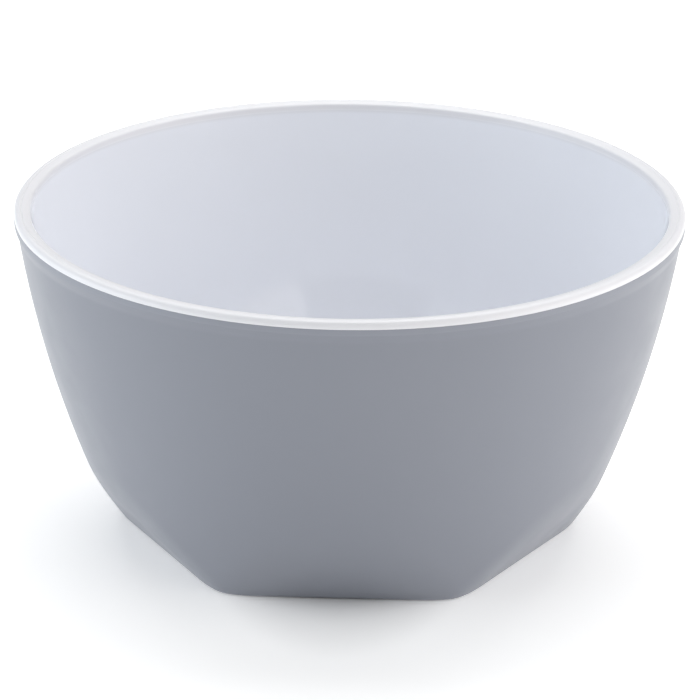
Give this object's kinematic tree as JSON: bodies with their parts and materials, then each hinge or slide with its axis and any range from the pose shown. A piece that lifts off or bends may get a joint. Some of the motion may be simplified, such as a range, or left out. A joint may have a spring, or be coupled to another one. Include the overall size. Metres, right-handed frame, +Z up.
{
  "type": "serving bowl",
  "caption": "Round two-tone serving bowl with a rounded lip; flat facets near the base give it a six-sided foot.",
  "frame": {"origin": "centre of the base, on the plane that the bowl stands on", "axes": "+Z up along the bowl's axis, -Y out of the middle of one facet"},
  "size_m": [0.254, 0.254, 0.1294],
  "materials": {
    "shell": "satin",
    "liner": "gloss"
  },
  "bodies": {
    "root": {"outer_shell": "shell", "inner_liner": "liner"}
  },
  "joints": []
}
